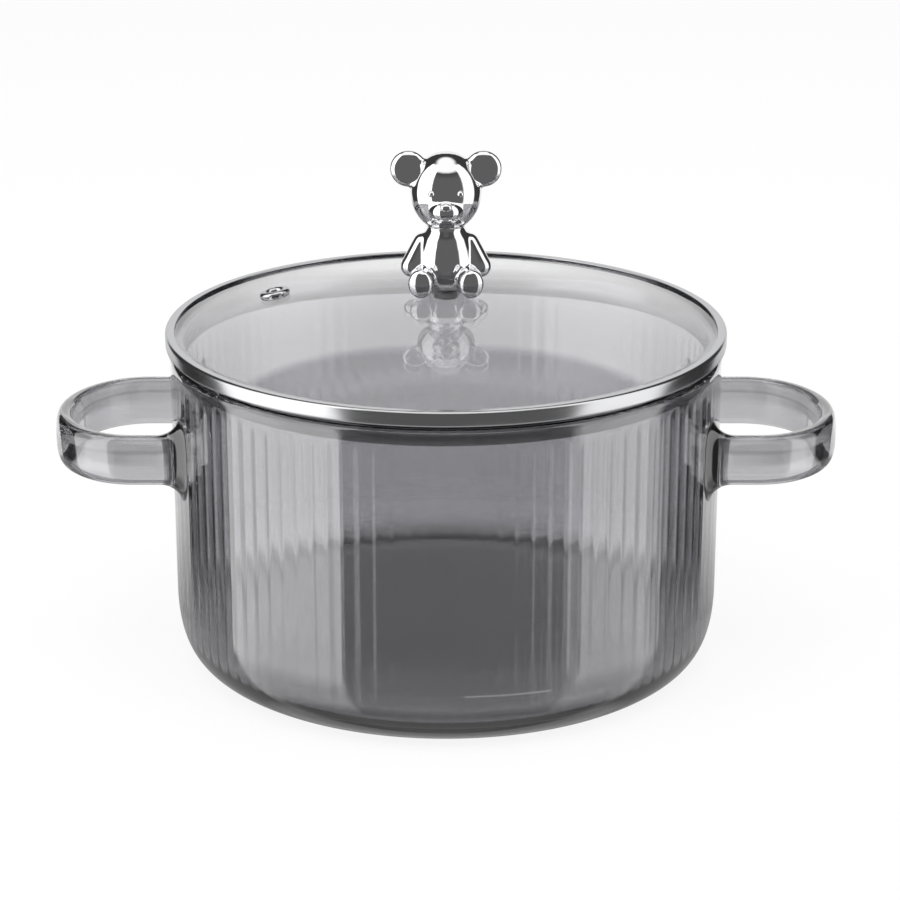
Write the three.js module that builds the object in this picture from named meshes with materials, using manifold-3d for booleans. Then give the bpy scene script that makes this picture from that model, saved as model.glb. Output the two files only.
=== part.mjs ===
// Ribbed glass pot with two strap handles and a domed lid that carries a cast bear knob.
// Millimetres, +Z up. The origin is the centre of the base, the handles lie along X, the bear faces -Y.
import * as THREE from 'three';
import { mergeVertices } from 'three/addons/utils/BufferGeometryUtils.js';
import Module from 'manifold-3d';

const wasm = await Module();
wasm.setup();

// Clearances
const seatGap = 0.25;           // between formed or curved faces that seat on each other
const stackGap = 0.1;           // between the flat faces of the knob's clamped stack
const boreGap = 0.3;            // radial play of a shank or sleeve in its hole

// Pot body
const bodyRadius = 90;          // outside of the wall
const potHeight = 104.6;        // base to the top of the lip
const wallThickness = 4;        // plain collar, and the mean of the ribbed wall
const floorThickness = 5;
const cornerWidth = 12;         // outer corner, run along the base
const cornerHeight = 23;        // outer corner, rise up the wall
const innerCornerWidth = 9;     // inner corner, run along the floor
const innerCornerHeight = 10;   // inner corner, rise up the wall, where the ribs fade out
const collarHeight = 5.3;       // plain band under the lip
const ribCount = 104;
const ribDepth = 0.3;           // crest to valley on the inside of the wall
const ribFade = 3;              // height over which the ribs rise out of the collar

// Strap handles
const strapThickness = 6;
const strapHeight = 16.4;
const strapPower = 2.4;         // 2 is an ellipse, higher is squarer
const strapDrop = 21.8;         // lip down to the top edge of the strap
const handleWidth = 67;         // front to back over the outside of the loop
const handleReach = 38.5;       // wall to the tip of the loop
const handleBend = 28;          // length of the rounded end of the loop, on the outside
const footLength = 8;           // how far the fused foot spreads out along the strap
const footRise = 7;             // spread of the foot above and below the strap
const footSpread = 3.5;         // spread of the foot to each side of the strap

// Lid glass
const glassThickness = 3.5;
const edgeLand = 2.8;           // flat margin of the glass held in the rim
const domeRise = 13.5;          // margin up to the crown
const domeShoulder = 6.1;       // height of the dome's curve at a third of the way in
const ventRadius = 59;          // lid axis to the vent
const ventAzimuth = 164;        // degrees from +X round to the back

// Steel rim
const steelThickness = 0.5;
const rimOverhang = 1.3;        // rim past the outside of the pot
const rimRound = 1;             // outer rounding of the rolled edge
const flangeRise = 1.2;         // rise of the flange from the lip of the pot out to the rolled edge
const rimLip = 3;               // turn of the rim over the top of the glass
const skirtDepth = 5.8;         // skirt below the lip of the pot
const skirtPlay = 0.8;          // radial play of the skirt in the mouth

// Vent eyelet
const ventBore = 1.8;           // radius of the steam hole
const ventMouth = 2.5;          // radius where the hole opens into the rolled flange
const eyeletWall = 0.9;
const eyeletFlange = 5.1;       // radius of the rolled flange on top
const eyeletRoll = 1.1;         // height of the roll
const eyeletFoot = 3.7;         // radius of the pressed flange under the glass
const eyeletThickness = 0.7;    // flange under the glass

// Knob fixing
const screwRadius = 1.5;
const screwReach = 11;          // screw inside the knob
const headRadius = 2.7;
const headHeight = 0.9;
const headSlot = 0.8;           // width of the cross recess
const washerRadius = 3.1;
const washerThickness = 0.4;
const gasketRadius = 6;         // in the recess under the knob
const gasketThickness = 0.5;
const sleeveWall = 0.8;
const cupWall = 0.5;            // rim of the silicone cup round the washer and the screw head

// Bear
const torsoRadius = 9.8;        // round the belly
const torsoHeight = 23.4;
const bellyHeight = 7;          // widest part of the belly
const seatRadius = 8.4;         // flat under the torso
const chestRadius = 7.4;
const chestHeight = 17;
const skullWidth = 23;
const skullDepth = 21;
const skullHeight = 26;
const neckSink = 5.2;           // how far the head sinks into the shoulders
const earRadius = 6;
const earThickness = 5.4;
const earSpread = 12;           // head's middle to the middle of an ear
const earSink = 5.6;            // ear's middle below the top of the head
const earDish = 4.3;            // radius of the hollow in the front of an ear
const snoutWidth = 10.4;
const snoutHeight = 8;
const snoutDepth = 10;
const snoutReach = 2.8;         // snout in front of the face
const snoutDrop = 4.4;          // snout below the middle of the head
const noseWidth = 4;
const noseHeight = 2.7;
const noseRise = 2.1;           // nose above the middle of the snout
const eyeRadius = 1.1;
const eyeAcross = 4.6;
const eyeRise = 1.4;            // eyes above the middle of the head
const armRadius = 3.6;
const armLength = 15.6;
const armSpread = 7.4;          // middle of the torso to a shoulder
const armDrop = 9.2;            // shoulder below the top of the torso
const armLean = 27;             // degrees outwards from the shoulder
const armReach = 20;            // degrees forward
const legRadius = 4.3;
const legLength = 20.6;
const legSplay = 11;            // degrees to either side of straight ahead
const hipRise = 0.3;            // underside of the leg above the seat, at the hip
const footDrop = 0.65;          // underside of the foot below the seat
const soleWidth = 8.2;
const soleHeight = 9.6;
const soleThickness = 4.6;
const tailRadius = 3;

// Facets
const roundSteps = ribCount;
const lidSteps = 56;
const smallSteps = 20;
const ballSteps = 12;
const beadSteps = 8;
const ribSamples = 4;

// Finishes
function finish(color, roughness, metalness, opacity) {
  return new THREE.MeshStandardMaterial({ color, roughness, metalness, opacity, transparent: opacity < 1 });
}

const smokeGlass = finish(0x8f8f96, 0.08, 0, 0.6);
const clearGlass = finish(0xdfe3e4, 0.06, 0, 0.35);
const steel = finish(0xb9bbbd, 0.2, 1, 1);
const chrome = finish(0xd6d8da, 0.06, 1, 1);
const silicone = finish(0xd9d8d3, 0.6, 0, 1);

// Solid helpers
function toSolid(geometry) {
  const bare = geometry.clone();
  bare.deleteAttribute('normal');
  bare.deleteAttribute('uv');
  const merged = mergeVertices(bare, 1e-4);
  const mesh = new wasm.Mesh({
    numProp: 3,
    vertProperties: new Float32Array(merged.attributes.position.array),
    triVerts: new Uint32Array(merged.index.array),
  });
  return new wasm.Manifold(mesh);
}

function toGeometry(solid) {
  const mesh = solid.getMesh();
  const geometry = new THREE.BufferGeometry();
  geometry.setAttribute('position', new THREE.BufferAttribute(new Float32Array(mesh.vertProperties), 3));
  geometry.setIndex(new THREE.BufferAttribute(new Uint32Array(mesh.triVerts), 1));
  geometry.computeVertexNormals();
  return geometry;
}

function join(geometries) {
  return geometries.map(toSolid).reduce((sum, next) => sum.add(next));
}

// Turns a closed outline of (radius, height) points, drawn with the solid on its left, about Z.
function turn(points, steps) {
  const geometry = new THREE.LatheGeometry(points, steps);
  geometry.rotateX(Math.PI / 2);
  return geometry;
}

function ball(width, depth, height, steps) {
  const geometry = new THREE.SphereGeometry(1, steps, (steps * 3) / 4);
  geometry.rotateX(Math.PI / 2);
  geometry.scale(width / 2, depth / 2, height / 2);
  return geometry;
}

function block(width, depth, height) {
  return new THREE.BoxGeometry(width, depth, height);
}

function rod(radius, low, high, steps) {
  const geometry = new THREE.CylinderGeometry(radius, radius, high - low, steps);
  geometry.rotateX(Math.PI / 2);
  geometry.translate(0, 0, (low + high) / 2);
  return geometry;
}

// Skins a stack of rings with triangles. Rings may differ in count by a whole factor.
function skin(rings, closeEnds) {
  const positions = [];
  const index = [];
  const starts = rings.map((ring) => {
    const start = positions.length / 3;
    ring.forEach((point) => positions.push(point.x, point.y, point.z));
    return start;
  });
  for (let k = 0; k + 1 < rings.length; k += 1) {
    const lowCount = rings[k].length;
    const highCount = rings[k + 1].length;
    const coarse = Math.min(lowCount, highCount);
    const lowStep = lowCount / coarse;
    const highStep = highCount / coarse;
    for (let i = 0; i < coarse; i += 1) {
      const low = (n) => starts[k] + ((i * lowStep + n) % lowCount);
      const high = (n) => starts[k + 1] + ((i * highStep + n) % highCount);
      const lowTurn = Math.floor(lowStep / 2);
      const highTurn = Math.floor(highStep / 2);
      for (let n = 0; n < lowStep; n += 1) {
        index.push(low(n), low(n + 1), high(n < lowTurn ? 0 : highTurn));
      }
      for (let n = 0; n < highStep; n += 1) {
        index.push(high(n), low(n < highTurn ? lowTurn : lowStep), high(n + 1));
      }
    }
  }
  closeEnds.forEach(({ ring, apex, flip }) => {
    const centre = positions.length / 3;
    positions.push(apex.x, apex.y, apex.z);
    const count = rings[ring].length;
    for (let i = 0; i < count; i += 1) {
      const a = starts[ring] + i;
      const b = starts[ring] + ((i + 1) % count);
      index.push(centre, flip ? b : a, flip ? a : b);
    }
  });
  const geometry = new THREE.BufferGeometry();
  geometry.setAttribute('position', new THREE.Float32BufferAttribute(positions, 3));
  geometry.setIndex(index);
  geometry.computeVertexNormals();
  return geometry;
}

// Pot body: rings run from the base centre up the outside, over the lip and down the ribbed inside.
function circle(radius, height, count, wave) {
  return Array.from({ length: count }, (_, i) => {
    const angle = (i / count) * 2 * Math.PI;
    const phase = angle * ribCount + Math.PI / ribSamples;
    const r = radius + wave * Math.cos(phase) / Math.cos(Math.PI / ribSamples);
    return new THREE.Vector3(r * Math.cos(angle), r * Math.sin(angle), height);
  });
}

const innerRadius = bodyRadius - wallThickness;

function potBody() {
  const rings = [];
  const plain = (r, z) => rings.push(circle(r, z, roundSteps, 0));
  const ribbed = (r, z) => rings.push(circle(r, z, ribCount * ribSamples, ribDepth / 2));

  const outer = new THREE.QuadraticBezierCurve(
    new THREE.Vector2(bodyRadius - cornerWidth, 0),
    new THREE.Vector2(bodyRadius, 0),
    new THREE.Vector2(bodyRadius, cornerHeight),
  );
  outer.getPoints(6).forEach((p) => plain(p.x, p.y));

  const lipRadius = wallThickness / 2;
  const lip = new THREE.Path();
  lip.absarc(bodyRadius - lipRadius, potHeight - lipRadius, lipRadius, 0, Math.PI, false);
  lip.getPoints(2).forEach((p) => plain(p.x, p.y));

  const ribTop = potHeight - collarHeight;
  plain(innerRadius, ribTop);
  ribbed(innerRadius, ribTop - ribFade);

  const inner = new THREE.QuadraticBezierCurve(
    new THREE.Vector2(innerRadius, floorThickness + innerCornerHeight),
    new THREE.Vector2(innerRadius, floorThickness),
    new THREE.Vector2(innerRadius - innerCornerWidth, floorThickness),
  );
  const [ribEnd, ...corner] = inner.getPoints(4);
  ribbed(ribEnd.x, ribEnd.y);
  corner.forEach((p) => plain(p.x, p.y));

  return skin(rings, [
    { ring: 0, apex: new THREE.Vector3(0, 0, 0), flip: true },
    { ring: rings.length - 1, apex: new THREE.Vector3(0, 0, floorThickness), flip: false },
  ]);
}

// Strap handle on the +X side: a rounded strap section carried round the loop, feet spread at the wall.
function strapHandle() {
  const halfWidth = (handleWidth - strapThickness) / 2;
  const tip = bodyRadius + handleReach - strapThickness / 2;
  const bendStart = bodyRadius + handleReach - handleBend;
  const wallX = Math.sqrt(bodyRadius ** 2 - halfWidth ** 2);
  const legStations = 5;
  const bendSteps = 14;

  const stations = [];
  for (let i = 0; i <= legStations; i += 1) {
    const out = footLength * i / legStations;
    const ease = (1 - i / legStations) ** 2;
    stations.push({ x: wallX + out, y: -halfWidth, turnTo: 0, ease });
  }
  stations.unshift({ x: wallX - wallThickness, y: -halfWidth, turnTo: 0, ease: 1 });
  for (let i = 0; i <= bendSteps; i += 1) {
    const a = -Math.PI / 2 + Math.PI * i / bendSteps;
    const a1 = tip - bendStart;
    const heading = Math.atan2(halfWidth * Math.cos(a), -a1 * Math.sin(a));
    stations.push({ x: bendStart + a1 * Math.cos(a), y: halfWidth * Math.sin(a), turnTo: heading, ease: 0 });
  }
  const legs = stations.slice(0, legStations + 2).reverse();
  legs.forEach((s) => stations.push({ x: s.x, y: halfWidth, turnTo: Math.PI, ease: s.ease }));

  const edgeSteps = 12;
  const midHeight = potHeight - strapDrop - strapHeight / 2;
  const swell = (size, part) => size * Math.sign(part) * Math.abs(part) ** (2 / strapPower);
  const rings = stations.map((s) => {
    const halfThick = strapThickness / 2 + footSpread * s.ease;
    const halfHigh = strapHeight / 2 + footRise * s.ease;
    const across = new THREE.Vector2(-Math.sin(s.turnTo), Math.cos(s.turnTo));
    return Array.from({ length: edgeSteps }, (_, i) => {
      const a = 2 * Math.PI * i / edgeSteps;
      const u = swell(halfThick, Math.cos(a));
      const v = swell(halfHigh, Math.sin(a));
      return new THREE.Vector3(s.x + across.x * u, s.y + across.y * u, midHeight + v);
    });
  });
  const endOf = (k) => new THREE.Vector3(stations[k].x, stations[k].y, midHeight);
  const last = rings.length - 1;
  const loop = skin(rings, [
    { ring: 0, apex: endOf(0), flip: true },
    { ring: last, apex: endOf(last), flip: false },
  ]);
  const wall = rod(bodyRadius + seatGap, 0, potHeight, roundSteps * 2);
  return toSolid(loop).subtract(toSolid(wall));
}

// Lid glass: the crown's curve gives the upper face, the lower face lies one thickness under it.
const rimOuter = bodyRadius + rimOverhang;
const flangeLow = potHeight + seatGap;
const channelLow = flangeLow + flangeRise;
const glassLow = channelLow + steelThickness + seatGap;
const glassRadius = rimOuter - steelThickness - seatGap;
const marginRadius = glassRadius - edgeLand;
const marginTop = glassLow + glassThickness;
const crown = marginTop + domeRise;
const sleeveRadius = screwRadius + boreGap + sleeveWall;
const centreHole = sleeveRadius + boreGap;
const crownCurve = new THREE.CubicBezierCurve(
  new THREE.Vector2(marginRadius, marginTop),
  new THREE.Vector2(marginRadius * 2 / 3, marginTop + domeShoulder),
  new THREE.Vector2(marginRadius / 3, crown),
  new THREE.Vector2(0, crown),
);

function crownAt(radius) {
  return crownCurve.getPoint(1 - radius / marginRadius);
}

// The vent's own frame: its origin lies on the upper face, +Z is the normal of the dome there.
const ventSlope = crownCurve.getTangent(1 - ventRadius / marginRadius);
const ventTilt = Math.atan2(ventSlope.y, -ventSlope.x);
const ventAngle = THREE.MathUtils.degToRad(ventAzimuth);
const barrelRadius = ventBore + eyeletWall;

function atVent(geometry) {
  geometry.rotateY(ventTilt);
  geometry.translate(ventRadius, 0, crownAt(ventRadius).y);
  geometry.rotateZ(ventAngle);
  return geometry;
}

function lidGlass() {
  const steps = 7;
  const upper = [];
  for (let i = 0; i <= steps; i += 1) {
    upper.push(crownAt(marginRadius + (centreHole - marginRadius) * i / steps));
  }
  const lower = upper.map((p) => new THREE.Vector2(p.x, p.y - glassThickness)).reverse();
  const edgeRound = glassThickness / 4;
  const outline = [
    ...lower,
    new THREE.Vector2(glassRadius - edgeRound, glassLow),
    new THREE.Vector2(glassRadius, glassLow + edgeRound),
    new THREE.Vector2(glassRadius, marginTop - edgeRound),
    new THREE.Vector2(glassRadius - edgeRound, marginTop),
    ...upper,
    lower[0].clone(),
  ];
  const hole = atVent(rod(barrelRadius + boreGap, -2 * glassThickness, glassThickness, smallSteps));
  return toSolid(turn(outline, lidSteps)).subtract(toSolid(hole));
}

// Steel rim: a channel round the glass edge. Its floor falls to a flange on the lip, then to a skirt.
function lidRim() {
  const skirtOuter = innerRadius - skirtPlay;
  const skirtInner = skirtOuter - steelThickness;
  const skirtLow = potHeight - skirtDepth;
  const lipMiddle = bodyRadius - wallThickness / 2;
  const rimTop = marginTop + seatGap + steelThickness;
  const wallInner = rimOuter - steelThickness;
  const innerRound = rimRound - steelThickness;
  const path = new THREE.Path();
  path.moveTo(skirtInner, skirtLow);
  path.lineTo(skirtOuter, skirtLow);
  path.lineTo(skirtOuter, flangeLow);
  path.lineTo(lipMiddle, flangeLow);
  path.lineTo(rimOuter - rimRound, channelLow);
  path.absarc(rimOuter - rimRound, channelLow + rimRound, rimRound, -Math.PI / 2, 0, false);
  path.lineTo(rimOuter, rimTop - rimRound);
  path.absarc(rimOuter - rimRound, rimTop - rimRound, rimRound, 0, Math.PI / 2, false);
  path.lineTo(rimOuter - rimLip, rimTop);
  path.lineTo(rimOuter - rimLip, rimTop - steelThickness);
  path.lineTo(wallInner - innerRound, rimTop - steelThickness);
  path.lineTo(wallInner, rimTop - rimRound);
  path.lineTo(wallInner, channelLow + rimRound);
  path.lineTo(wallInner - innerRound, channelLow + steelThickness);
  path.lineTo(lipMiddle, flangeLow + steelThickness);
  path.lineTo(skirtInner, flangeLow + steelThickness);
  path.closePath();
  return turn(path.getPoints(1), lidSteps);
}

// Vent eyelet: rolled flange on top, barrel through the glass, pressed flange below.
function ventGrommet() {
  const normalThickness = glassThickness * Math.cos(ventTilt);
  const under = -normalThickness - seatGap;
  const foot = under - eyeletThickness;
  const bevel = eyeletThickness / 2;
  const roll = new THREE.EllipseCurve(
    (eyeletFlange + ventMouth) / 2, seatGap, (eyeletFlange - ventMouth) / 2, eyeletRoll, 0, Math.PI,
  );
  const outline = [
    new THREE.Vector2(ventBore, foot),
    new THREE.Vector2(eyeletFoot - bevel, foot),
    new THREE.Vector2(eyeletFoot, foot + bevel),
    new THREE.Vector2(eyeletFoot, under),
    new THREE.Vector2(barrelRadius, under),
    new THREE.Vector2(barrelRadius, seatGap),
    ...roll.getPoints(6),
    new THREE.Vector2(ventBore, -normalThickness / 2),
    new THREE.Vector2(ventBore, foot),
  ];
  return atVent(turn(outline, smallSteps));
}

// Knob stack, from the crown up to the knob and from the underside down to the screw head.
const knobBase = crown + seatGap;
const gasketTop = knobBase + gasketThickness;
const underside = crownAt(centreHole).y - glassThickness;
const cupBore = washerRadius + boreGap;
const cupRadius = cupBore + cupWall;
const cupTop = crownAt(cupRadius).y - glassThickness - seatGap;
const cupFloor = cupTop - gasketThickness;
const washerTop = cupFloor - stackGap;
const headTop = washerTop - washerThickness - stackGap;

function knobGasket() {
  const bore = screwRadius + boreGap;
  const outline = [
    [bore, underside],
    [sleeveRadius, underside],
    [sleeveRadius, knobBase],
    [gasketRadius, knobBase],
    [gasketRadius, gasketTop],
    [bore, gasketTop],
    [bore, underside],
  ].map(([r, z]) => new THREE.Vector2(r, z));
  return turn(outline, smallSteps);
}

function screwCup() {
  const bore = screwRadius + boreGap;
  const low = headTop - headHeight;
  const outline = [
    [bore, cupFloor],
    [cupBore, cupFloor],
    [cupBore, low],
    [cupRadius, low],
    [cupRadius, cupTop],
    [bore, cupTop],
    [bore, cupFloor],
  ].map(([r, z]) => new THREE.Vector2(r, z));
  return turn(outline, smallSteps);
}

function screwWasher() {
  const bore = screwRadius + boreGap;
  const low = washerTop - washerThickness;
  const outline = [
    [bore, low],
    [washerRadius, low],
    [washerRadius, washerTop],
    [bore, washerTop],
    [bore, low],
  ].map(([r, z]) => new THREE.Vector2(r, z));
  return turn(outline, smallSteps);
}

function knobScrew() {
  const dome = headHeight / 2;
  const outline = [
    [0, headTop - headHeight],
    [headRadius - dome, headTop - headHeight],
    [headRadius - dome / 3, headTop - headHeight + dome / 2],
    [headRadius, headTop - headHeight + dome],
    [headRadius, headTop],
    [screwRadius, headTop],
    [screwRadius, knobBase + screwReach - screwRadius / 2],
    [screwRadius / 2, knobBase + screwReach],
    [0, knobBase + screwReach],
  ].map(([r, z]) => new THREE.Vector2(r, z));
  const slotDepth = headHeight / 2;
  const slotFloor = headTop - headHeight + slotDepth;
  const slot = block(headRadius, headSlot, headHeight);
  slot.translate(0, 0, slotFloor - headHeight / 2);
  const cross = slot.clone().rotateZ(Math.PI / 2);
  return toSolid(turn(outline, smallSteps)).subtract(join([slot, cross]));
}

// Bear knob: rounded masses grown together, recessed for the gasket and bored for the screw.
// The torso's seat is at zero.
function limb(radius, length) {
  const geometry = new THREE.CapsuleGeometry(radius, length - 2 * radius, 3, ballSteps);
  geometry.rotateX(Math.PI / 2);
  geometry.translate(0, 0, radius - length / 2);
  return geometry;
}

function bearKnob() {
  const masses = [];
  const hollows = [];
  const side = THREE.MathUtils.degToRad(legSplay);

  const flank = new THREE.SplineCurve([
    new THREE.Vector2(seatRadius, 0),
    new THREE.Vector2(torsoRadius, bellyHeight),
    new THREE.Vector2(chestRadius, chestHeight),
    new THREE.Vector2(0, torsoHeight),
  ]);
  const outline = flank.getPoints(8);
  outline[outline.length - 1].x = 0;
  masses.push(turn([new THREE.Vector2(0, 0), ...outline], ballSteps));

  const headMid = torsoHeight - neckSink + skullHeight / 2;
  const face = -skullDepth / 2;
  masses.push(ball(skullWidth, skullDepth, skullHeight, ballSteps).translate(0, 0, headMid));

  const snoutTip = face - snoutReach;
  const snoutMid = headMid - snoutDrop;
  const snout = ball(snoutWidth, snoutDepth, snoutHeight, ballSteps);
  masses.push(snout.translate(0, snoutTip + snoutDepth / 2, snoutMid));
  const nose = ball(noseWidth, noseHeight, noseHeight, beadSteps);
  masses.push(nose.translate(0, snoutTip + noseHeight / 4, snoutMid + noseRise));

  const tail = ball(2 * tailRadius, 2 * tailRadius, 2 * tailRadius, beadSteps);
  masses.push(tail.translate(0, torsoRadius, tailRadius));

  [-1, 1].forEach((hand) => {
    const earMid = headMid + skullHeight / 2 - earSink;
    const ear = ball(2 * earRadius, earThickness, 2 * earRadius, ballSteps);
    masses.push(ear.translate(hand * earSpread, 0, earMid));
    const dish = ball(2 * earDish, earThickness, 2 * earDish, beadSteps);
    hollows.push(dish.translate(hand * earSpread, -earThickness * 2 / 3, earMid));

    const bulge = 1 - (2 * eyeAcross / skullWidth) ** 2 - (2 * eyeRise / skullHeight) ** 2;
    const eye = ball(2 * eyeRadius, 2 * eyeRadius, 2 * eyeRadius, beadSteps);
    masses.push(eye.translate(hand * eyeAcross, face * Math.sqrt(bulge), headMid + eyeRise));

    const arm = limb(armRadius, armLength);
    arm.rotateX(THREE.MathUtils.degToRad(-armReach));
    arm.rotateY(THREE.MathUtils.degToRad(-hand * armLean));
    masses.push(arm.translate(hand * armSpread, 0, torsoHeight - armDrop));

    const hip = torsoRadius - legRadius;
    const leg = limb(legRadius, legLength);
    const dip = Math.asin((hipRise + footDrop) / (legLength - 2 * legRadius));
    leg.rotateX(dip - Math.PI / 2);
    leg.rotateZ(hand * side);
    masses.push(leg.translate(hand * hip, 0, legRadius + hipRise));

    const stride = legLength - legRadius - soleThickness / 2;
    const sole = ball(soleWidth, soleThickness, soleHeight, ballSteps);
    sole.rotateZ(hand * side);
    const soleMid = soleHeight / 2 - footDrop;
    masses.push(sole.translate(hand * (hip + stride * Math.sin(side)), -stride * Math.cos(side), soleMid));
  });

  const recess = rod(gasketRadius + boreGap, -gasketRadius, gasketThickness + stackGap, smallSteps);
  const bore = rod(screwRadius + boreGap, -gasketRadius, screwReach + boreGap, smallSteps);
  return join(masses).subtract(join([...hollows, recess, bore]));
}

// Assembly
const group = new THREE.Group();

function add(name, shape, material) {
  const geometry = shape instanceof THREE.BufferGeometry ? shape : toGeometry(shape);
  const mesh = new THREE.Mesh(geometry, material);
  mesh.name = name;
  group.add(mesh);
  return mesh;
}

const handle = strapHandle();
add('pot_body', potBody(), smokeGlass);
add('handle_right', handle, smokeGlass);
add('handle_left', handle, smokeGlass).rotation.z = Math.PI;
add('lid_glass', lidGlass(), clearGlass);
add('lid_rim', lidRim(), steel);
add('vent_grommet', ventGrommet(), steel);
add('knob', bearKnob(), chrome).position.z = knobBase;
add('knob_gasket', knobGasket(), silicone);
add('screw_gasket', screwCup(), silicone);
add('screw_washer', screwWasher(), steel);
add('knob_screw', knobScrew(), steel);

export default group;
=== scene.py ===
import math

import bpy
import numpy as np
from mathutils import Euler, Matrix, Vector


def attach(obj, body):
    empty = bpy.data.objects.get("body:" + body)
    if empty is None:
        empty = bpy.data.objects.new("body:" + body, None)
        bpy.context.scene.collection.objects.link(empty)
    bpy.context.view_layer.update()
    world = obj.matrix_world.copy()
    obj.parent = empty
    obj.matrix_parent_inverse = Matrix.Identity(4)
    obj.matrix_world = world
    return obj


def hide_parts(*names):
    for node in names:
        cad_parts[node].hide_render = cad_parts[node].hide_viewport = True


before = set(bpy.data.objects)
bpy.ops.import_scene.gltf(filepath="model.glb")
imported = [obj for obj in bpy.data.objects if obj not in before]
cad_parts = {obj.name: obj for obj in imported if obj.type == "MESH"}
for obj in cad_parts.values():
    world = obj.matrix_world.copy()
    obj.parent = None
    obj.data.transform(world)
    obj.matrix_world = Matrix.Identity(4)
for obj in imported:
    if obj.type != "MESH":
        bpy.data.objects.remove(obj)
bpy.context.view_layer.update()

MM = 0.001
ON_AXIS = 1e-6

# Pot, in millimetres. Only the ribs and the ripple differ from the solids: they are tuned to the photo
BODY_R = 90.0
POT_H = 104.6
WALL = 4.0
FLOOR = 5.0
CORNER_W, CORNER_H = 12.0, 23.0
IN_CORNER_W, IN_CORNER_H = 9.0, 10.0
CORNER_STEPS = 24
FLOOR_RINGS = (30.0, 60.0)
COLLAR = 5.3
RIBS = 104
RIB_STEPS = 14
RIB_DEPTH = 0.15
RIB_FADE = 4.0
RIB_CORNER_SHARE = 0.55
RIB_HARMONICS = (1.0, 0.3, 0.1)
RIB_SCALE = 1.1
OUTER_RIPPLE = 0.05
RIPPLE_START, RIPPLE_FADE = 4.0, 6.0
RING_PITCH = 3.0
INNER_R = BODY_R - WALL
LIP_R = WALL / 2

# Handles. The section is a little squarer than in the solids
STRAP_T, STRAP_H, STRAP_DROP = 6.0, 16.4, 21.8
STRAP_POWER = 3.0
STRAP_STEPS = 48
HANDLE_W, HANDLE_REACH, HANDLE_BEND = 67.0, 38.5, 28.0
LOOP_STEPS = 49
# Fillet at the feet: radius, its share sideways, the angle where it starts, and depth in the wall
FOOT_R = 7.0
FOOT_SIDE = 0.5
FOOT_START, FOOT_STEPS = 12, 12
FOOT_SINK = 1.5

# Lid
GAP = 0.25
STEEL = 0.5
FLANGE_RISE = 1.2
GLASS_T = 3.5
GLASS_EDGE = 1.2
RIM_R = BODY_R + 1.3
RIM_ROUND = 1.0
RIM_LAP = 2.75
SKIRT_GAP, SKIRT_DROP = 0.8, 5.8
FLANGE_Z = POT_H + GAP
CHANNEL_Z = FLANGE_Z + FLANGE_RISE
GLASS_Z = CHANNEL_Z + STEEL + GAP
GLASS_R = RIM_R - STEEL - GAP
MARGIN_R = GLASS_R - 2.8
MARGIN_Z = GLASS_Z + GLASS_T
DOME_RISE, DOME_SHOULDER = 13.5, 6.1
CROWN_Z = MARGIN_Z + DOME_RISE
HOLE_R = 2.9
VENT_R, VENT_AZ, VENT_HOLE_R = 59.0, math.radians(164), 2.9
LID_STEPS = 256
SMALL_STEPS = 64

# Knob and its fixings. The bore goes through the washer and both gaskets and into the knob
KNOB_Z = CROWN_Z + GAP
HEAD_Z = KNOB_Z + 31.2
EAR_X, EAR_Z, EAR_R = 12.0, HEAD_Z + 7.4, 6.0
BORE_R, BORE_END = 1.8, 11.3
SEAT_GAP = 0.1
GASKET_T, GASKET_R = 0.5, 6.0
SLEEVE_R = 2.6
KNOB_RECESS_R = 6.3
CUP_R, CUP_BORE, CUP_EDGE = 3.9, 3.4, 0.2
WASHER_R, WASHER_T, WASHER_EDGE = 3.1, 0.4, 0.1
SCREW_HEAD_R, SCREW_HEAD_T, SCREW_HEAD_EDGE = 2.7, 0.9, 0.3
SHANK_R, SHANK_END = 1.5, 11.0
SHANK_TIP_R, SHANK_TIP_H = 0.8, 0.8
RECESS_R, RECESS_END_R, RECESS_DEPTH = 1.6, 1.3, 0.45
RECESS_BLADE = 0.3


# Mesh helpers

def coords(mesh):
    """The mesh's points in metres, one row each."""
    co = np.empty(len(mesh.vertices) * 3)
    mesh.vertices.foreach_get("co", co)
    return co.reshape(-1, 3)


def set_coords(mesh, co):
    mesh.vertices.foreach_set("co", co.ravel())
    mesh.update()


def volume_of(mesh):
    mesh.calc_loop_triangles()
    co = coords(mesh)
    tri = np.empty(len(mesh.loop_triangles) * 3, dtype=np.int32)
    mesh.loop_triangles.foreach_get("vertices", tri)
    a, b, c = (co[tri.reshape(-1, 3)[:, k]] for k in range(3))
    return float(np.einsum("ij,ij->i", a, np.cross(b, c)).sum() / 6)


def shade_smooth(mesh):
    mesh.polygons.foreach_set("use_smooth", [True] * len(mesh.polygons))


def from_rings(name, rings, low=None, high=None, loop=False):
    """Skin rings of equal count. Points low and high close the ends; loop joins last to first."""
    count = len(rings[0])
    verts = np.concatenate(rings)
    faces = []
    pairs = len(rings) if loop else len(rings) - 1
    for k in range(pairs):
        a, b = k * count, ((k + 1) % len(rings)) * count
        for i in range(count):
            j = (i + 1) % count
            faces.append((a + i, a + j, b + j, b + i))
    extra = []
    for point, start, flip in ((low, 0, True), (high, (len(rings) - 1) * count, False)):
        if point is None:
            continue
        tip = len(verts) + len(extra)
        extra.append(point)
        for i in range(count):
            j = (i + 1) % count
            faces.append((tip, start + j, start + i) if flip else (tip, start + i, start + j))
    if extra:
        verts = np.concatenate([verts, np.array(extra, dtype=float)])
    mesh = bpy.data.meshes.new(name)
    mesh.from_pydata((verts * MM).tolist(), [], faces)
    mesh.validate()
    if volume_of(mesh) < 0:
        mesh.flip_normals()
    shade_smooth(mesh)
    return mesh


def new_object(name, data):
    obj = bpy.data.objects.new(name, data)
    bpy.context.scene.collection.objects.link(obj)
    return obj


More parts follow.
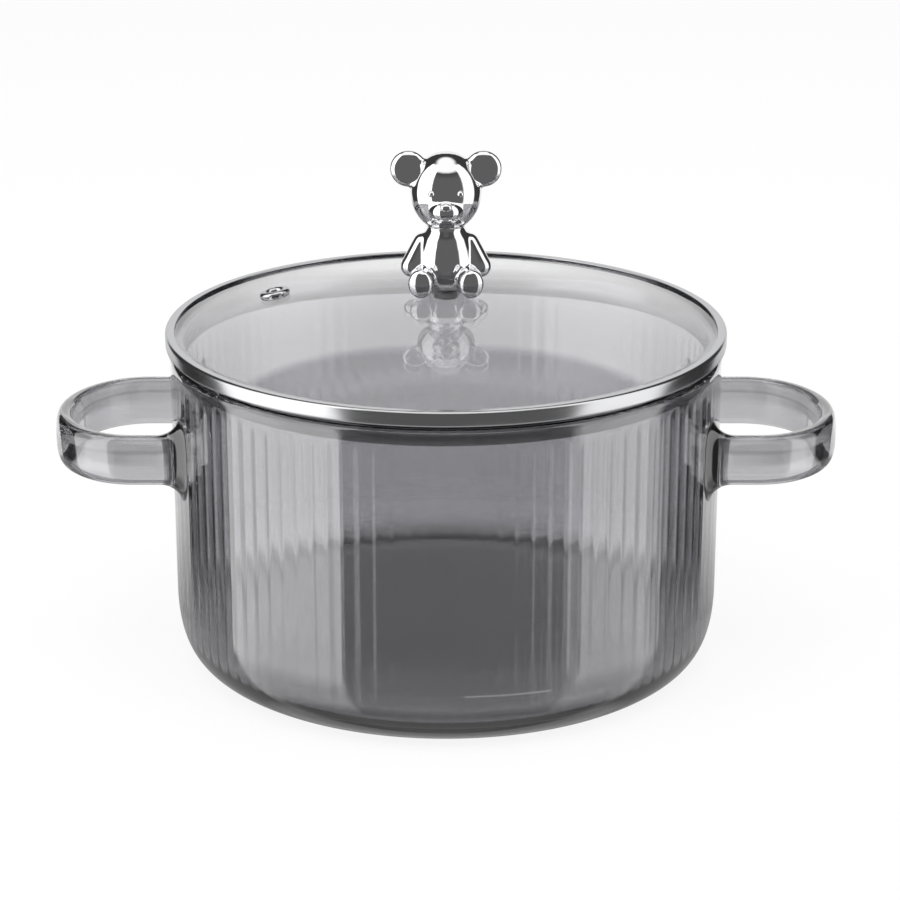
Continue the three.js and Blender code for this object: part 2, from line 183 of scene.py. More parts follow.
def lathe(name, outline, steps, wave=None):
    """Turn (radius, height) points about Z.

    A point on the axis closes that end; with none on the axis the outline is a loop.
    Two more numbers in a point say how far the wave moves it outward and up.
    """
    angle = np.arange(steps) * 2 * math.pi / steps
    pts = list(outline)
    low = high = None
    if pts[0][0] < ON_AXIS:
        low = (0, 0, pts.pop(0)[1])
    if pts[-1][0] < ON_AXIS:
        high = (0, 0, pts.pop()[1])
    rings = []
    for point in pts:
        r = np.full(steps, float(point[0]))
        z = np.full(steps, float(point[1]))
        if wave is not None and len(point) > 2:
            swell = wave(angle)
            r = r + point[2] * swell
            z = z + point[3] * swell
        rings.append(np.stack([r * np.cos(angle), r * np.sin(angle), z], axis=1))
    return from_rings(name, rings, low, high, loop=low is None and high is None)


def arc(cx, cz, r, a0, a1, n):
    turns = np.linspace(math.radians(a0), math.radians(a1), n)
    return [(cx + r * math.cos(a), cz + r * math.sin(a)) for a in turns]


def quad_curve(p0, p1, p2, n):
    out = []
    for t in np.linspace(0, 1, n):
        w = ((1 - t) ** 2, 2 * t * (1 - t), t * t)
        out.append(tuple(w[0] * a + w[1] * b + w[2] * c for a, b, c in zip(p0, p1, p2)))
    return out


def settle(obj):
    """Replace the mesh by what its modifiers make of it."""
    graph = bpy.context.evaluated_depsgraph_get()
    graph.update()
    made = bpy.data.meshes.new_from_object(obj.evaluated_get(graph))
    obj.modifiers.clear()
    old = obj.data
    name = old.name
    obj.data = made
    bpy.data.meshes.remove(old)
    made.name = name


def apply_boolean(obj, others, operation):
    for other in others:
        mod = obj.modifiers.new("cut", "BOOLEAN")
        mod.object = other
        mod.operation = operation
        mod.solver = "MANIFOLD"
    settle(obj)
    for other in others:
        mesh = other.data
        bpy.data.objects.remove(other)
        bpy.data.meshes.remove(mesh)


def smooth_by_angle(obj, degrees):
    shade_smooth(obj.data)
    obj.data.set_sharp_from_angle(angle=math.radians(degrees))


def turned(name, outline, steps, sharp):
    """A lathed piece whose edges over an angle in degrees stay sharp."""
    obj = new_object(name, lathe(name, outline, steps))
    smooth_by_angle(obj, sharp)
    return obj


# Pot: outside, lip, ribbed inside

def flute(angle):
    """Change of radius round the wall: broad ribs with narrower grooves between them."""
    waves = [share * np.cos((k + 1) * angle * RIBS) for k, share in enumerate(RIB_HARMONICS)]
    return sum(waves) / RIB_SCALE


def pot_mesh():
    top = POT_H - COLLAR
    corner_z = FLOOR + IN_CORNER_H
    outline = [(0.0, 0.0)]
    outline += [(r, 0.0) for r in FLOOR_RINGS]
    outline += quad_curve((BODY_R - CORNER_W, 0.0), (BODY_R, 0.0), (BODY_R, CORNER_H), CORNER_STEPS)[:-1]
    # Outside, with the ripple
    for z in np.arange(CORNER_H, POT_H - LIP_R - 1, RING_PITCH):
        rise = (z - CORNER_H + RIPPLE_START) / RIPPLE_FADE
        fall = (top - z) / RIB_FADE
        amp = min(1.0, max(0.0, rise), max(0.0, fall)) * OUTER_RIPPLE / 2
        outline.append((BODY_R - amp, z, amp, 0.0))
    # Lip and plain collar
    outline += arc(BODY_R - LIP_R, POT_H - LIP_R, LIP_R, 0, 180, 13)
    outline += [(INNER_R, z) for z in np.linspace(POT_H - LIP_R - 0.8, top + 0.3, 3)]
    # Ribs: they rise out of the collar, run straight and fade out in the corner
    for t in np.linspace(0, 1, 9):
        ease = math.sin(t * math.pi / 2) ** 2
        outline.append((INNER_R, top - RIB_FADE * t, ease * RIB_DEPTH / 2, 0.0))
    heights = np.linspace(top - RIB_FADE - 8, corner_z + 5, 8)
    outline += [(INNER_R, z, RIB_DEPTH / 2, 0.0) for z in heights]
    flat_r = INNER_R - IN_CORNER_W
    corner = quad_curve((INNER_R, corner_z), (INNER_R, FLOOR), (flat_r, FLOOR), CORNER_STEPS)
    for k, (r, z) in enumerate(corner):
        t = k / (len(corner) - 1)
        ease = max(0.0, 1 - t / RIB_CORNER_SHARE)
        ease = ease * ease * (3 - 2 * ease)
        tilt = t * math.pi / 2
        amp = ease * RIB_DEPTH / 2
        outline.append((r, z, amp * math.cos(tilt), -amp * math.sin(tilt)))
    outline += [(r, FLOOR) for r in reversed(FLOOR_RINGS)]
    outline.append((0.0, FLOOR))
    return lathe("pot_glass", outline, RIBS * RIB_STEPS, wave=flute)


def strap_outline():
    """The strap's bulging section as (u across, v up) with the outward normal of each point."""
    a, b, k = STRAP_T / 2, STRAP_H / 2, 2.0 / STRAP_POWER
    t = np.arange(STRAP_STEPS) * 2 * math.pi / STRAP_STEPS
    c, d = np.cos(t), np.sin(t)
    u = a * np.sign(c) * np.abs(c) ** k
    v = b * np.sign(d) * np.abs(d) ** k
    nu = np.sign(u) * np.abs(u / a) ** (STRAP_POWER - 1) / a
    nv = np.sign(v) * np.abs(v / b) ** (STRAP_POWER - 1) / b
    size = np.hypot(nu, nv)
    return np.stack([u, v, nu / size, nv / size], axis=1)


def handle_mesh(side):
    """A strap from foot to foot round its loop. side is 1 for the right handle, -1 for the left."""
    u, v, nu, nv = strap_outline().T
    half_w = (HANDLE_W - STRAP_T) / 2
    bend = BODY_R + HANDLE_REACH - HANDLE_BEND
    reach = HANDLE_BEND - STRAP_T / 2
    mid = POT_H - STRAP_DROP - STRAP_H / 2

    def wall_ring(out, spread):
        """The section of one foot, out from the wall's face and spread by the fillet."""
        y = half_w + u + nu * spread * FOOT_SIDE
        x = np.sqrt((BODY_R + out) ** 2 - y ** 2)
        return np.stack([x, -y, mid + v + nv * spread], axis=1)

    turns = np.radians(np.linspace(FOOT_START, 90, FOOT_STEPS))
    foot = [wall_ring(-FOOT_SINK, FOOT_R * (1 - math.sin(turns[0])))]
    foot += [wall_ring(FOOT_R * (1 - math.cos(a)), FOOT_R * (1 - math.sin(a))) for a in turns]
    rings = list(foot)
    for a in np.linspace(-math.pi / 2, math.pi / 2, LOOP_STEPS):
        tx, ty = -reach * math.sin(a), half_w * math.cos(a)
        n = math.hypot(tx, ty)
        ax, ay = ty / n, -tx / n
        cx, cy = bend + reach * math.cos(a), half_w * math.sin(a)
        rings.append(np.stack([cx + ax * u, cy + ay * u, mid + v], axis=1))
    rings += [ring * np.array([1.0, -1.0, 1.0]) for ring in reversed(foot)]
    if side < 0:
        rings = [ring * np.array([-1.0, -1.0, 1.0]) for ring in rings]
    return from_rings("strap", rings, tuple(rings[0].mean(axis=0)), tuple(rings[-1].mean(axis=0)))


# Lid

def crown(radius):
    """Height of the lid's upper face at a radius."""
    t = min(1.0, radius / MARGIN_R)
    b = ((1 - t) ** 3 + 3 * t * (1 - t) ** 2, 3 * t * t * (1 - t), t ** 3)
    return b[0] * CROWN_Z + b[1] * (MARGIN_Z + DOME_SHOULDER) + b[2] * MARGIN_Z


def crown_slope(radius):
    nudge = 0.01
    return (crown(radius + nudge) - crown(radius - nudge)) / (2 * nudge)


def lid_mesh():
    radii = np.linspace(MARGIN_R, HOLE_R, 60)
    upper = [(r, crown(r)) for r in radii]
    lower = [(r, z - GLASS_T) for r, z in reversed(upper)]
    edge_r = GLASS_R - GLASS_EDGE
    outline = lower + arc(edge_r, GLASS_Z + GLASS_EDGE, GLASS_EDGE, -90, 0, 6)
    outline += arc(edge_r, MARGIN_Z - GLASS_EDGE, GLASS_EDGE, 0, 90, 6) + upper
    return lathe("lid_pane", outline, LID_STEPS)


def rim_outline():
    """Section of the band: skirt, flange on the lip, roll round the glass, and back along the inside."""
    skirt = INNER_R - SKIRT_GAP
    skirt_in = skirt - STEEL
    low = POT_H - SKIRT_DROP
    lip = BODY_R - LIP_R
    top = MARGIN_Z + GAP + STEEL
    inside = RIM_R - STEEL
    roll_r = RIM_R - RIM_ROUND
    bend = 0.5
    cut = 0.2
    flat = 1.0
    slope_run, slope_dip = 0.9, 0.18
    lap_start = 2.0
    pts = [(skirt_in, low + cut), (skirt_in + cut, low), (skirt - cut, low), (skirt, low + cut)]
    pts += arc(skirt + bend, FLANGE_Z - bend, bend, 180, 90, 5)
    pts += [(lip - flat, FLANGE_Z), (lip, FLANGE_Z)]
    pts += [(roll_r - slope_run, CHANNEL_Z - slope_dip)]
    pts += arc(roll_r, CHANNEL_Z + RIM_ROUND, RIM_ROUND, -90, 0, 8)
    pts += arc(roll_r, top - RIM_ROUND, RIM_ROUND, 0, 90, 8)
    pts += [(RIM_R - lap_start, top)]
    pts += arc(RIM_R - RIM_LAP, top - STEEL / 2, STEEL / 2, 90, 270, 7)
    pts += [(inside - bend, top - STEEL), (inside, top - RIM_ROUND), (inside, CHANNEL_Z + RIM_ROUND)]
    pts += [(inside - bend, CHANNEL_Z + STEEL), (lip, FLANGE_Z + STEEL)]
    pts += [(skirt_in + bend, FLANGE_Z + STEEL)]
    pts += arc(skirt_in + bend, FLANGE_Z, bend, 90, 180, 5)
    return pts


def at_vent(mesh):
    """Move a mesh made at the origin to the vent, upright on the dome there."""
    tilt = math.atan(-crown_slope(VENT_R))
    lift = Matrix.Translation((VENT_R * MM, 0, crown(VENT_R) * MM))
    mesh.transform(Matrix.Rotation(VENT_AZ, 4, "Z") @ lift @ Matrix.Rotation(tilt, 4, "Y"))
    return mesh


def vent_outline():
    """Section of the eyelet, with the dome's face at height 0."""
    bore, mouth, barrel, flange, foot = 1.8, 2.5, 2.7, 5.1, 3.7
    roll, thick, cut = 1.1, 0.7, 0.3
    under = -GLASS_T * math.cos(math.atan(crown_slope(VENT_R))) - GAP
    low = under - thick
    pts = [(bore, low + cut), (bore + cut, low)]
    pts += arc(foot - thick / 2, low + thick / 2, thick / 2, -90, 90, 9)
    pts += [(barrel, under), (barrel, GAP)]
    mid, half = (flange + mouth) / 2, (flange - mouth) / 2
    pts += [(mid + half * math.cos(a), GAP + roll * math.sin(a)) for a in np.linspace(0, math.pi, 17)]
    # Throat, which narrows from the roll to the bore
    pts += [(mouth - 0.25, GAP - 0.6), (bore + 0.1, GAP - 1.4)]
    return pts


# Bear: rounded masses, grown together and smoothed as a casting

def ball(center, radii, turn_z=0.0, steps=48):
    lat = np.linspace(-math.pi / 2, math.pi / 2, steps // 2 + 1)[1:-1]
    pts = [(0.0, -1.0)] + [(math.cos(a), math.sin(a)) for a in lat] + [(0.0, 1.0)]
    mesh = lathe("ball", pts, steps)
    spin = np.array(Euler((0.0, 0.0, math.radians(turn_z))).to_matrix())
    shape = coords(mesh) / MM * np.array(radii)
    set_coords(mesh, (shape @ spin.T + np.array(center)) * MM)
    return mesh


def limb(start, end, r0, r1):
    """A rounded limb from one point to another, with a radius at each end."""
    along = Vector(end) - Vector(start)
    rise = math.asin((r0 - r1) / along.length)
    pts = arc(0.0, 0.0, r0, -90, math.degrees(rise), 12)
    pts += arc(0.0, along.length, r1, math.degrees(rise), 90, 12)
    pts[0] = (0.0, pts[0][1])
    pts[-1] = (0.0, pts[-1][1])
    mesh = lathe("limb", pts, 48)
    turn = along.to_track_quat("Z", "Y").to_matrix().to_4x4()
    mesh.transform(Matrix.Translation(Vector(start) * MM) @ turn)
    return mesh


def merge(name, meshes):
    verts, faces, start = [], [], 0
    for mesh in meshes:
        verts.append(coords(mesh))
        faces += [tuple(start + i for i in p.vertices) for p in mesh.polygons]
        start += len(mesh.vertices)
        bpy.data.meshes.remove(mesh)
    made = bpy.data.meshes.new(name)
    made.from_pydata(np.concatenate(verts).tolist(), [], faces)
    shade_smooth(made)
    return made


def bear_masses():
    """Torso, head, muzzle and tail, then on each side an ear, an arm, a leg and a foot."""
    z = KNOB_Z
    torso = [(0.0, 0.0), (7.6, 0.0), (8.6, 0.5), (9.3, 2.5), (9.75, 5.0), (9.8, 7.0),
             (9.5, 10.2), (8.7, 13.6), (7.4, 17.0), (5.4, 20.3), (3.0, 22.5), (0.0, 23.4)]
    parts = [lathe("torso", [(r, z + h) for r, h in torso], 64),
             ball((0, 0, HEAD_Z), (11.5, 10.5, 13.0)),
             ball((0, -8.3, HEAD_Z - 4.4), (5.2, 5.0, 4.0)),
             ball((0, 9.8, z + 3.0), (3.0, 3.0, 3.0))]
    for side in (-1, 1):
        parts.append(ball((side * EAR_X, 0, EAR_Z), (EAR_R, 2.7, EAR_R)))
        parts.append(limb((side * 7.4, 0, z + 14.2), (side * 11.0, -2.9, z + 7.2), 3.3, 3.7))
        parts.append(limb((side * 5.5, 0, z + 4.6), (side * 7.8, -11.7, z + 3.65), 4.3, 4.0))
        parts.append(ball((side * 8.15, -13.7, z + 4.15), (4.1, 2.3, 4.8), turn_z=11 * side))
    return parts


def ear_dish(side):
    """A shallow flat-floored hollow for the front of an ear."""
    mesh = lathe("dish", [(0, 0), (4.0, 0), (4.4, 0.25), (4.7, 0.8), (4.9, 2.5), (0, 2.5)], 64)
    move = Matrix.Translation((side * EAR_X * MM, -1.75 * MM, EAR_Z * MM))
    mesh.transform(move @ Matrix.Rotation(math.pi / 2, 4, "X"))
    return mesh


def bear_object():
    """The masses are grown into one skin and softened, the ears dished, then eyes and nose set on."""
    obj = new_object("bear_knob", merge("bear_knob", bear_masses()))

    def grow(iterations):
        remesh = obj.modifiers.new("grow", "REMESH")
        remesh.mode = "VOXEL"
        remesh.voxel_size = 0.3 * MM
        remesh.use_smooth_shade = True
        soft = obj.modifiers.new("soft", "SMOOTH")
        soft.factor = 0.5
        soft.iterations = iterations
        settle(obj)

    grow(iterations=10)
    apply_boolean(obj, [new_object("dish", ear_dish(side)) for side in (-1, 1)], "DIFFERENCE")
    grow(iterations=16)
    beads = [ball((side * 4.6, -9.5, HEAD_Z + 1.4), (1.1, 1.1, 1.1), steps=32) for side in (-1, 1)]
    beads.append(ball((0, -12.6, HEAD_Z - 2.3), (2.0, 1.35, 1.35), steps=32))
    apply_boolean(obj, [new_object("bead", bead) for bead in beads], "UNION")
    seat = GASKET_T + SEAT_GAP
    bore = [(0, -3), (KNOB_RECESS_R, -3), (KNOB_RECESS_R, seat), (BORE_R, seat), (BORE_R, BORE_END),
            (0, BORE_END)]
    hollow = lathe("hollow", [(r, KNOB_Z + h) for r, h in bore], SMALL_STEPS)
    apply_boolean(obj, [new_object("hollow", hollow)], "DIFFERENCE")
    smooth_by_angle(obj, 50)
    return obj


# Knob fixings, from the knob's seat down to the screw's head

CUP_TOP = crown(CUP_R) - GLASS_T - GAP
WASHER_TOP = CUP_TOP - GASKET_T - SEAT_GAP
WASHER_LOW = WASHER_TOP - WASHER_T
SCREW_HEAD_TOP = WASHER_LOW - SEAT_GAP
SCREW_HEAD_LOW = SCREW_HEAD_TOP - SCREW_HEAD_T


def bush_outline():
    sleeve_low = crown(HOLE_R) - GLASS_T
    half = GASKET_T / 2
    pts = [(BORE_R, sleeve_low), (SLEEVE_R, sleeve_low), (SLEEVE_R, KNOB_Z)]
    pts += arc(GASKET_R - half, KNOB_Z + half, half, -90, 90, 9)
    return pts + [(BORE_R, KNOB_Z + GASKET_T)]


def cup_outline():
    half = (CUP_R - CUP_BORE) / 2
    pts = [(BORE_R, CUP_TOP - GASKET_T), (CUP_BORE, CUP_TOP - GASKET_T)]
    pts += arc(CUP_R - half, SCREW_HEAD_LOW + half, half, 180, 360, 11)
    pts += arc(CUP_R - CUP_EDGE, CUP_TOP - CUP_EDGE, CUP_EDGE, 0, 90, 6)
    return pts + [(BORE_R, CUP_TOP)]


def washer_outline():
    flat_r = WASHER_R - WASHER_EDGE
    pts = [(BORE_R, WASHER_LOW), (flat_r, WASHER_LOW), (WASHER_R, WASHER_LOW + WASHER_EDGE)]
    return pts + [(WASHER_R, WASHER_TOP - WASHER_EDGE), (flat_r, WASHER_TOP), (BORE_R, WASHER_TOP)]


def screw_outline():
    dome = SCREW_HEAD_T - SCREW_HEAD_EDGE
    dome_top = SCREW_HEAD_TOP - SCREW_HEAD_EDGE
    end = KNOB_Z + SHANK_END
    pts = [(0, SCREW_HEAD_LOW)]
    for a in np.linspace(0.15, math.pi / 2, 10):
        pts.append((SCREW_HEAD_R * math.sin(a), dome_top - dome * math.cos(a)))
    pts += [(SCREW_HEAD_R, SCREW_HEAD_TOP), (SHANK_R, SCREW_HEAD_TOP), (SHANK_R, end - SHANK_TIP_H)]
    return pts + [(SHANK_TIP_R, end), (0, end)]


def recess_blade(squeeze):
    """One arm of the cross in the screw's head: a four-sided taper, squeezed flat along one axis."""
    low, high = SCREW_HEAD_LOW - 1, SCREW_HEAD_LOW + RECESS_DEPTH
    mesh = lathe("recess", [(0, low), (RECESS_R, low), (RECESS_END_R, high), (0, high)], 4)
    set_coords(mesh, coords(mesh) * np.array(squeeze))
    return mesh


# Materials

def new_material(name):
    mat = bpy.data.materials.new(name)
    mat.use_nodes = True
    tree = mat.node_tree
    tree.nodes.clear()
    out = tree.nodes.new("ShaderNodeOutputMaterial")
    return mat, tree, out


def link(tree, a, b):
    tree.links.new(a, b)


def math_node(tree, operation, *values):
    """A math node whose inputs are numbers or other nodes' outputs."""
    node = tree.nodes.new("ShaderNodeMath")
    node.operation = operation
    for k, value in enumerate(values):
        if isinstance(value, (int, float)):
            node.inputs[k].default_value = value
        else:
            link(tree, value, node.inputs[k])
    return node.outputs["Value"]


def mix_shaders(tree, factor, first, second):
    node = tree.nodes.new("ShaderNodeMixShader")
    link(tree, factor, node.inputs["Fac"])
    link(tree, first, node.inputs[1])
    link(tree, second, node.inputs[2])
    return node.outputs["Shader"]


def mix_colors(tree, factor, first, second):
    node = tree.nodes.new("ShaderNodeMix")
    node.data_type = "RGBA"
    node.inputs["A"].default_value = first
    node.inputs["B"].default_value = second
    link(tree, factor, node.inputs["Factor"])
    return node.outputs["Result"]


def principled(tree, **values):
    node = tree.nodes.new("ShaderNodeBsdfPrincipled")
    for key, value in values.items():
        node.inputs[key.replace("_", " ")].default_value = value
    return node


def noise(tree, scale, detail, stretch=None):
    tex = tree.nodes.new("ShaderNodeTexCoord")
    node = tree.nodes.new("ShaderNodeTexNoise")
    node.inputs["Scale"].default_value = scale
    node.inputs["Detail"].default_value = detail
    source = tex.outputs["Object"]
    if stretch is not None:
        mapping = tree.nodes.new("ShaderNodeMapping")
        mapping.inputs["Scale"].default_value = stretch
        link(tree, source, mapping.inputs["Vector"])
        source = mapping.outputs["Vector"]
    link(tree, source, node.inputs["Vector"])
    return node.outputs["Fac"]


def remap(tree, source, low, high, lo_in=0.3, hi_in=0.7):
    node = tree.nodes.new("ShaderNodeMapRange")
    node.inputs["From Min"].default_value = lo_in
    node.inputs["From Max"].default_value = hi_in
    node.inputs["To Min"].default_value = low
    node.inputs["To Max"].default_value = high
    link(tree, source, node.inputs["Value"])
    return node.outputs["Result"]


def bump(tree, source, strength, distance):
    node = tree.nodes.new("ShaderNodeBump")
    node.inputs["Strength"].default_value = strength
    node.inputs["Distance"].default_value = distance
    link(tree, source, node.inputs["Height"])
    return node.outputs["Normal"]


def glass_material(name, tint, absorb, density, waviness, coat, shade):
    """Tinted glass with a mirror coat. Shadow rays pass straight through, dimmed by shade."""
    mat, tree, out = new_material(name)
    glass = principled(tree, Base_Color=tint, Transmission_Weight=1.0, IOR=1.47, Roughness=0.0,
                       Coat_Weight=coat, Coat_Roughness=0.0, Coat_IOR=1.9)
    wave = noise(tree, scale=22.0, detail=1.0)
    link(tree, bump(tree, wave, strength=waviness, distance=0.4 * MM), glass.inputs["Normal"])
    clear = tree.nodes.new("ShaderNodeBsdfTransparent")
    clear.inputs["Color"].default_value = shade
    path = tree.nodes.new("ShaderNodeLightPath")
    shadow = path.outputs["Is Shadow Ray"]
    surface = mix_shaders(tree, shadow, glass.outputs["BSDF"], clear.outputs["BSDF"])
    link(tree, surface, out.inputs["Surface"])
    volume = tree.nodes.new("ShaderNodeVolumeAbsorption")
    volume.inputs["Color"].default_value = absorb
    volume.inputs["Density"].default_value = density
    link(tree, volume.outputs["Volume"], out.inputs["Volume"])
    return mat


def metal_material(name, color, edge, rough, grain, stretch, depth):
    """Metal whose roughness and relief follow a fine grain."""
    mat, tree, out = new_material(name)
    metal = principled(tree, Base_Color=color, Specular_Tint=edge, Metallic=1.0)
    speck = noise(tree, scale=grain, detail=4.0, stretch=stretch)
    link(tree, remap(tree, speck, rough[0], rough[1]), metal.inputs["Roughness"])
    link(tree, bump(tree, speck, strength=depth, distance=0.02 * MM), metal.inputs["Normal"])
    link(tree, metal.outputs["BSDF"], out.inputs["Surface"])
    return mat


def silicone_material(name):
    mat, tree, out = new_material(name)
    rubber = principled(tree, Roughness=0.4, IOR=1.41, Transmission_Weight=0.4)
    speck = noise(tree, scale=900.0, detail=3.0)
    color = mix_colors(tree, speck, (0.88, 0.88, 0.86, 1), (0.96, 0.96, 0.94, 1))
    link(tree, color, rubber.inputs["Base Color"])
    link(tree, bump(tree, speck, strength=0.15, distance=0.05 * MM), rubber.inputs["Normal"])
    link(tree, rubber.outputs["BSDF"], out.inputs["Surface"])
    return mat


smoke = glass_material("smoke_glass", tint=(0.655, 0.6505, 0.672, 1), absorb=(0.50, 0.50, 0.515, 1),
                       density=68.0, waviness=0.02, coat=0.88, shade=(0.55, 0.55, 0.56, 1))
clear_lid = glass_material("clear_glass", tint=(1, 1, 1, 1), absorb=(0.60, 0.60, 0.635, 1),
                           density=105.0, waviness=0.01, coat=0.2, shade=(0.88, 0.88, 0.88, 1))
rim_steel = metal_material("rim_steel", color=(0.645, 0.645, 0.655, 1), edge=(0.71, 0.71, 0.72, 1),
                           rough=(0.17, 0.21), grain=120.0, stretch=(1, 1, 6), depth=0.01)
chrome = metal_material("knob_chrome", color=(0.86, 0.86, 0.87, 1), edge=(0.9, 0.9, 0.9, 1),
                        rough=(0.03, 0.06), grain=60.0, stretch=(1, 1, 1), depth=0.004)
fixing = metal_material("fixing_steel", color=(0.62, 0.62, 0.63, 1), edge=(1, 1, 1, 1),
                        rough=(0.22, 0.38), grain=600.0, stretch=(1, 1, 6), depth=0.2)
silicone = silicone_material("silicone")


def place(obj, material, body, slot, *nodes):
    obj.data.materials.clear()
    obj.data.materials.append(material)
    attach(obj, body)
    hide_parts(*nodes)


# Pieces

pot = new_object("pot_glass", pot_mesh())
straps = [new_object("strap_r", handle_mesh(1)), new_object("strap_l", handle_mesh(-1))]
apply_boolean(pot, straps, "UNION")
smooth_by_angle(pot, 40)
place(pot, smoke, "pot", "smoke_glass", "pot_body", "handle_left", "handle_right")

pane = new_object("lid_pane", lid_mesh())
punch = at_vent(lathe("punch", [(0, -8), (VENT_HOLE_R, -8), (VENT_HOLE_R, 4), (0, 4)], 48))
apply_boolean(pane, [new_object("punch", punch)], "DIFFERENCE")
smooth_by_angle(pane, 40)
place(pane, clear_lid, "lid", "clear_glass", "lid_glass")

rim = turned("rim_band", rim_outline(), LID_STEPS, 50)
place(rim, rim_steel, "lid", "rim_steel", "lid_rim")

vent = new_object("vent_eyelet", at_vent(lathe("vent_eyelet", vent_outline(), SMALL_STEPS)))
smooth_by_angle(vent, 50)
place(vent, rim_steel, "lid", "rim_steel", "vent_grommet")

bear = bear_object()
place(bear, chrome, "lid", "knob_chrome", "knob")

bush = turned("bush_upper", bush_outline(), SMALL_STEPS, 40)
place(bush, silicone, "lid", "silicone", "knob_gasket")

cup = turned("bush_lower", cup_outline(), SMALL_STEPS, 40)
place(cup, silicone, "lid", "silicone", "screw_gasket")

washer = turned("washer_disc", washer_outline(), SMALL_STEPS, 30)
place(washer, fixing, "lid", "fixing_steel", "screw_washer")

screw = new_object("screw_fixing", lathe("screw_fixing", screw_outline(), SMALL_STEPS))
blades = [recess_blade((RECESS_BLADE, 1.0, 1.0)), recess_blade((1.0, RECESS_BLADE, 1.0))]
apply_boolean(screw, [new_object("recess", blade) for blade in blades], "DIFFERENCE")
smooth_by_angle(screw, 40)
place(screw, fixing, "lid", "fixing_steel", "knob_screw")


# Studio: pale floor, white backdrop, soft side boxes in the world

def world_light():
    """Light by direction, in degrees: azimuth from the camera's side to the right, and elevation."""
    world = bpy.data.worlds.new("studio")
    bpy.context.scene.world = world
    world.use_nodes = True
    tree = world.node_tree
    tree.nodes.clear()
    out = tree.nodes.new("ShaderNodeOutputWorld")
    path = tree.nodes.new("ShaderNodeLightPath")
    tex = tree.nodes.new("ShaderNodeTexCoord")
    axes = tree.nodes.new("ShaderNodeSeparateXYZ")
    link(tree, tex.outputs["Generated"], axes.inputs["Vector"])

    def times(a, b):
        return math_node(tree, "MULTIPLY", a, b)

    def rest_of(a):
        return math_node(tree, "SUBTRACT", 1.0, a)

    def above(value, edge, soft):
        """0 under an angle and 1 over it, with a soft step between."""
        node = tree.nodes.new("ShaderNodeMapRange")
        node.interpolation_type = "SMOOTHSTEP"
        node.inputs["From Min"].default_value = math.radians(edge - soft)
        node.inputs["From Max"].default_value = math.radians(edge + soft)
        link(tree, value, node.inputs["Value"])
        return node.outputs["Result"]

    def below(value, edge, soft):
        return rest_of(above(value, edge, soft))

    def between(value, low, high, soft):
        return math_node(tree, "SUBTRACT", above(value, low, soft), above(value, high, soft))

    az = math_node(tree, "ARCTAN2", axes.outputs["X"], times(axes.outputs["Y"], -1.0))
    side = math_node(tree, "ABSOLUTE", az)
    el = math_node(tree, "ARCSINE", axes.outputs["Z"])
    transmitted = path.outputs["Is Transmission Ray"]

    # Side boxes, which dim in two steps towards the ground
    foot = math_node(tree, "ADD", times(above(el, -28, 6), 0.6), times(above(el, -48, 8), 0.4))
    upright = math_node(tree, "SUBTRACT", foot, above(el, 58, 4))
    left = times(between(times(az, -1.0), 44, 101, 2.5), upright)
    right = times(between(az, 55, 98, 4), upright)

    # Backdrop behind the pot under an arch, duller low down beside its middle
    off = math_node(tree, "SUBTRACT", math.pi, side)
    arch = math_node(tree, "ADD", el, times(times(off, off), 1.94))
    dusk = times(between(side, 138, 174, 6), below(el, -18.3, 1.2))
    back = times(times(below(arch, 38.7, 0.8), above(el, -22, 1.6)), rest_of(times(dusk, 0.33)))

    # Light from overhead, which reaches lower on the camera's side
    over = math_node(tree, "MAXIMUM", above(el, 66, 7), times(above(el, 51, 5), below(side, 90, 15)))

    # Low light: from behind, stronger through the glass, from the ground, from straight down, and a
    # narrow strip that glints on the pot's floor
    beside = times(above(side, 90, 10), below(el, -22.5, 1.5))
    through = times(times(transmitted, 0.42), above(el, -44, 8))
    ground = below(el, -31, 1.2)
    deep = times(below(el, -52, 4), rest_of(transmitted))
    glint = times(between(az, 8, 46, 2), between(el, -32, -31, 0.4))

    # Weak fill from the camera's side
    front = times(below(side, 60, 10), below(el, 42, 14))

    behind = math_node(tree, "ADD", through, 0.3)
    lights = ((left, 1.64), (right, 1.28), (back, 1.0), (over, 1.1), (beside, behind), (ground, 0.03),
              (deep, 0.27), (glint, 0.8), (front, 0.08))
    total = 0.045
    for mask, strength in lights:
        total = math_node(tree, "MULTIPLY_ADD", mask, strength, total)

    # The camera sees plain white
    seen = tree.nodes.new("ShaderNodeBackground")
    lit = tree.nodes.new("ShaderNodeBackground")
    for node in (seen, lit):
        node.inputs["Color"].default_value = (1, 1, 1, 1)
    seen.inputs["Strength"].default_value = 1.0
    link(tree, total, lit.inputs["Strength"])
    surface = mix_shaders(tree, path.outputs["Is Camera Ray"], lit.outputs["Background"],
                          seen.outputs["Background"])
    link(tree, surface, out.inputs["Surface"])


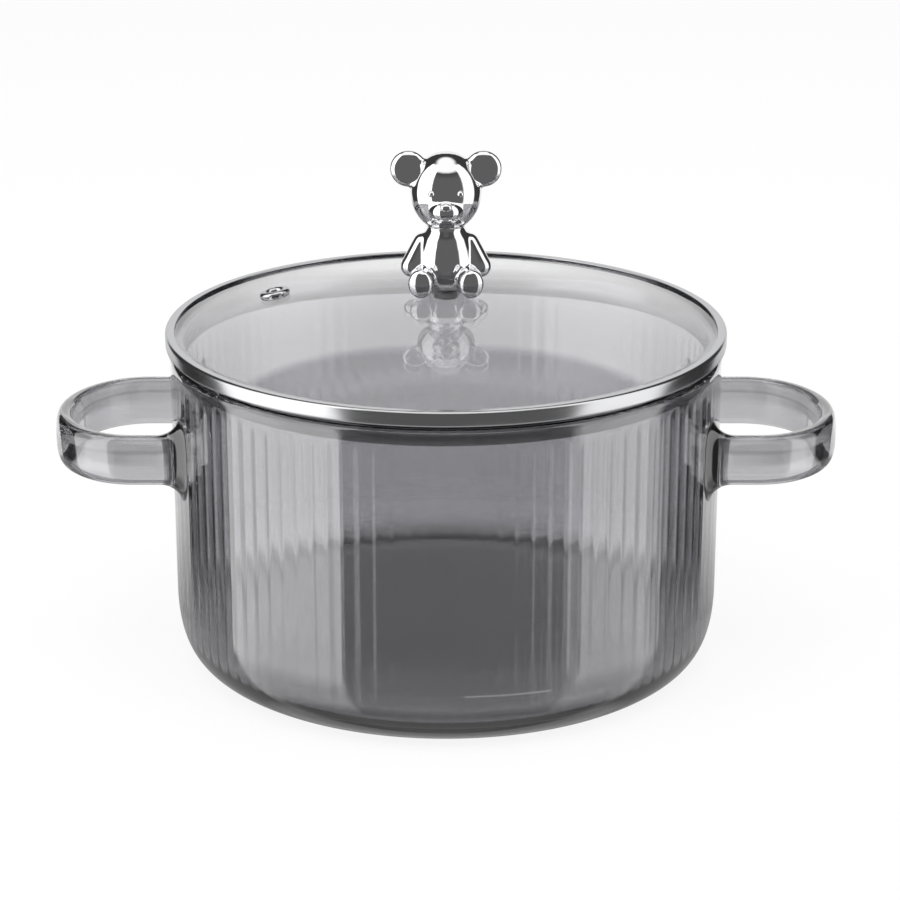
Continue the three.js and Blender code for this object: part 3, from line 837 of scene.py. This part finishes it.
def studio_floor():
    """White to the camera. Through the glass it carries a dark painted shadow under the pot and is clear
    further out.
    """
    span, drop = 3.0, 0.4 * MM
    glow_share = 0.88
    mesh = bpy.data.meshes.new("floor")
    corners = [(-span, -span, 0), (span, -span, 0), (span, span, 0), (-span, span, 0)]
    mesh.from_pydata(corners, [], [(0, 1, 2, 3)])
    obj = new_object("floor", mesh)
    obj.location.z = -drop
    obj.visible_glossy = False
    mat, tree, out = new_material("floor")
    path = tree.nodes.new("ShaderNodeLightPath")
    tex = tree.nodes.new("ShaderNodeTexCoord")
    reach = tree.nodes.new("ShaderNodeVectorMath")
    reach.operation = "LENGTH"
    link(tree, tex.outputs["Object"], reach.inputs[0])

    def through_glass(near, far, at_near, at_far):
        """A value by distance from the pot's axis, for rays that come through the glass."""
        value = remap(tree, reach.outputs["Value"], at_near, at_far, near, far)
        return math_node(tree, "MULTIPLY", value, path.outputs["Is Transmission Ray"])

    base = tree.nodes.new("ShaderNodeBsdfDiffuse")
    # Painted shadow: for rays through the glass, the floor's colour turns dark under the pot
    painted_shadow_under_pot = through_glass(0.090, 0.105, 1.0, 0.0)
    floor_tone_with_painted_shadow = mix_colors(tree, painted_shadow_under_pot, (0.85, 0.85, 0.85, 1), (0.14, 0.14, 0.14, 1))
    link(tree, floor_tone_with_painted_shadow, base.inputs["Color"])
    glow = tree.nodes.new("ShaderNodeEmission")
    share = math_node(tree, "MULTIPLY", path.outputs["Is Camera Ray"], glow_share)
    solid = mix_shaders(tree, share, base.outputs["BSDF"], glow.outputs["Emission"])
    clear = tree.nodes.new("ShaderNodeBsdfTransparent")
    outside = through_glass(0.11, 0.16, 0.0, 1.0)
    link(tree, mix_shaders(tree, outside, solid, clear.outputs["BSDF"]), out.inputs["Surface"])
    mesh.materials.append(mat)


def top_lamp():
    data = bpy.data.lights.new("top_lamp", "AREA")
    data.shape = "SQUARE"
    data.size = 1.4
    data.energy = 22.0
    obj = new_object("top_lamp", data)
    obj.location = (0.0, -0.25, 1.6)
    obj.rotation_euler = (math.radians(-9), 0, 0)
    obj.visible_glossy = False
    obj.visible_transmission = False


def camera():
    """The photograph's camera, with its focal length fitted in the photograph's pixels."""
    distance, elevation = 0.900, math.radians(19.42)
    focal_px, photo_px, sensor = 2714.0, 900.0, 36.0
    aim = Vector((0.0013, 0.0, 0.0672))
    data = bpy.data.cameras.new("camera")
    data.sensor_width = sensor
    data.lens = focal_px / photo_px * sensor
    data.clip_start, data.clip_end = 0.01, 50.0
    obj = new_object("camera", data)
    obj.location = aim + Vector((0, -distance * math.cos(elevation), distance * math.sin(elevation)))
    obj.rotation_euler = (aim - obj.location).to_track_quat("-Z", "Y").to_euler()
    bpy.context.scene.camera = obj


world_light()
studio_floor()
top_lamp()
camera()

scene = bpy.context.scene
scene.view_settings.view_transform = "Standard"
scene.cycles.max_bounces = 24
scene.cycles.transmission_bounces = 24
scene.cycles.glossy_bounces = 8
scene.cycles.transparent_max_bounces = 24
